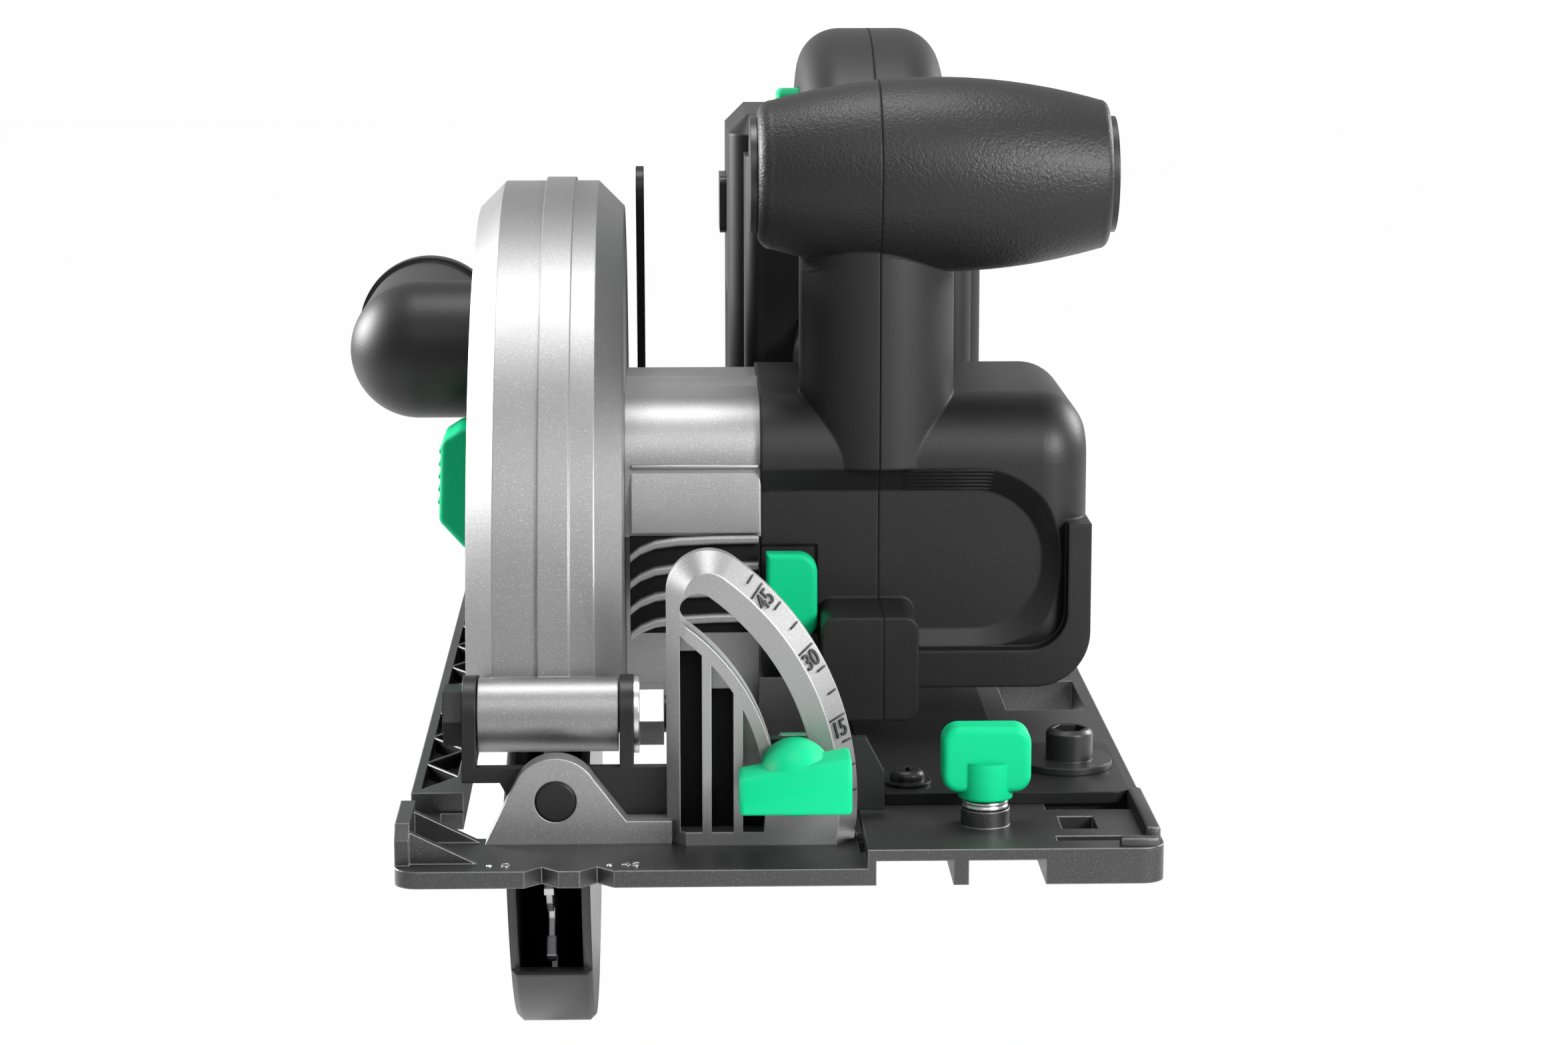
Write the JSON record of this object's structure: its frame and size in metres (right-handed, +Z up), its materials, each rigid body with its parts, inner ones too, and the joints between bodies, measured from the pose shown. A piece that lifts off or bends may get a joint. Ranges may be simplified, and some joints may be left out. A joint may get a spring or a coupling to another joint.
{
  "type": "circular saw",
  "caption": "Hand-held circular saw with a guarded blade, a tilting sole plate with a bevel scale, a two-part handle, a depth arm and a slide-on battery.",
  "frame": {"origin": "point on the sole's underside, on the blade's mid-plane, straight below the arbor axis", "axes": "+X from the blade towards the motor, -Y to the front of the saw, +Z up from the work"},
  "size_m": [0.1859, 0.29, 0.2378],
  "materials": {
    "casting": "satin grey casting",
    "guard_paint": "satin dark grey",
    "lower_guard_metal": "satin grey",
    "steel": "bright steel",
    "copper": "varnished copper wire",
    "black_plastic": "matt moulded",
    "grip_rubber": "matt",
    "green_plastic": "satin moulded"
  },
  "bodies": {
    "base": {"base_plate": "casting", "edge_rail": "black_plastic", "bevel_quadrant": "casting", "rear_hinge_lug": "casting", "bevel_pin_front": "steel", "bevel_pin_rear": "steel", "sole_top_plate": "casting", "top_plate_screws": "steel", "fence_clamp_spring": "steel"},
    "fence_knob": {"fence_knob": "green_plastic", "fence_clamp_screw": "steel"},
    "guide_cam": {"guide_cam": "black_plastic"},
    "bevel_frame": {"front_bracket": "casting", "rear_bracket": "casting", "depth_arm": "steel", "depth_arm_rivets": "steel", "bevel_clamp_bolt": "steel", "bevel_clamp_washer": "steel", "depth_pivot_bolt": "steel", "depth_pivot_nut": "steel"},
    "bevel_knob": {"bevel_knob": "green_plastic"},
    "saw_head": {"upper_guard": "guard_paint", "gear_case": "casting", "housing_left": "black_plastic", "housing_right": "black_plastic", "housing_screws": "steel", "grip_end_caps": "grip_rubber", "dust_port": "black_plastic", "arbor_bearing": "steel", "arbor_tail_bearing": "steel", "motor_bearing": "steel", "motor_tail_bearing": "steel", "stator": "steel", "stator_coils": "copper", "switch_body": "black_plastic", "control_board": "black_plastic", "terminal_block": "black_plastic", "depth_clamp_bolt": "steel", "guard_retaining_ring": "steel", "guard_return_spring": "steel"},
    "blade": {"saw_blade": "steel", "inner_flange": "steel", "outer_flange": "steel", "blade_bolt": "steel", "arbor_shaft": "steel", "drive_gear": "steel"},
    "armature": {"rotor_shaft": "steel", "rotor_core": "steel", "cooling_fan": "black_plastic"},
    "lower_guard": {"lower_guard": "lower_guard_metal", "guard_lever": "green_plastic"},
    "trigger": {"trigger": "black_plastic"},
    "lock_off": {"lock_off_button": "green_plastic"},
    "shaft_lock": {"shaft_lock_button": "green_plastic", "shaft_lock_pin": "steel"},
    "depth_lever": {"depth_lever": "black_plastic"},
    "battery": {"battery_case": "black_plastic"},
    "latch_left": {"battery_latch_left": "black_plastic"},
    "latch_right": {"battery_latch_right": "black_plastic"}
  },
  "joints": [
    {"name": "bevel_tilt", "type": "hinge", "parent": "base", "child": "bevel_frame", "pos_m": [0.003, 0, 0.013], "axis": [0, -1, 0], "range_deg": [0, 45]},
    {"name": "depth_swing", "type": "hinge", "parent": "bevel_frame", "child": "saw_head", "pos_m": [0.003, -0.107, 0.028], "axis": [1, 0, 0], "range_deg": [0, 35]},
    {"name": "bevel_knob_turn", "type": "hinge", "parent": "bevel_frame", "child": "bevel_knob", "pos_m": [0.0535, -0.125, 0.0201], "axis": [0, -1, 0], "range_deg": [-180, 180]},
    {"name": "fence_knob_turn", "type": "hinge", "parent": "base", "child": "fence_knob", "pos_m": [0.094, -0.124, 0.01], "axis": [0, 0, 1], "range_deg": [-180, 180]},
    {"name": "guide_cam_turn", "type": "hinge", "parent": "base", "child": "guide_cam", "pos_m": [0.116, -0.084, 0.01], "axis": [0, 0, 1], "range_deg": [-90, 90]},
    {"name": "blade_spin", "type": "hinge", "parent": "saw_head", "child": "blade", "pos_m": [0, 0, 0.029], "axis": [1, 0, 0], "continuous": true},
    {"name": "armature_spin", "type": "hinge", "parent": "saw_head", "child": "armature", "pos_m": [0, 0, 0.052], "axis": [1, 0, 0], "continuous": true},
    {"name": "guard_swing", "type": "hinge", "parent": "saw_head", "child": "lower_guard", "pos_m": [0, 0, 0.029], "axis": [1, 0, 0], "range_deg": [0, 120], "stiffness_Nm_per_rad": 0.35, "springref_deg": -34.38},
    {"name": "trigger_press", "type": "slide", "parent": "saw_head", "child": "trigger", "axis": [0, 0, 1], "range_m": [0, 0.006], "stiffness_N_per_m": 800, "springref_m": -0.002},
    {"name": "lock_off_press", "type": "slide", "parent": "saw_head", "child": "lock_off", "axis": [1, 0, 0], "range_m": [0, 0.004], "stiffness_N_per_m": 600, "springref_m": -0.002},
    {"name": "shaft_lock_press", "type": "slide", "parent": "saw_head", "child": "shaft_lock", "axis": [0, 1, 0], "range_m": [0, 0.003], "stiffness_N_per_m": 900, "springref_m": -0.002},
    {"name": "depth_lever_turn", "type": "hinge", "parent": "saw_head", "child": "depth_lever", "pos_m": [0.025, 0.08042, 0.01325], "axis": [1, 0, 0], "range_deg": [0, 50]},
    {"name": "battery_slide", "type": "slide", "parent": "saw_head", "child": "battery", "axis": [0, 0, 1], "range_m": [0, 0.098]},
    {"name": "latch_left_press", "type": "slide", "parent": "battery", "child": "latch_left", "axis": [1, 0, 0], "range_m": [0, 0.0024], "stiffness_N_per_m": 900, "springref_m": -0.001},
    {"name": "latch_right_press", "type": "slide", "parent": "battery", "child": "latch_right", "axis": [-1, 0, 0], "range_m": [0, 0.0024], "stiffness_N_per_m": 900, "springref_m": -0.001}
  ],
  "couplings": [
    {"joint": "armature_spin", "follows": "blade_spin", "ratio": -3.6}
  ]
}
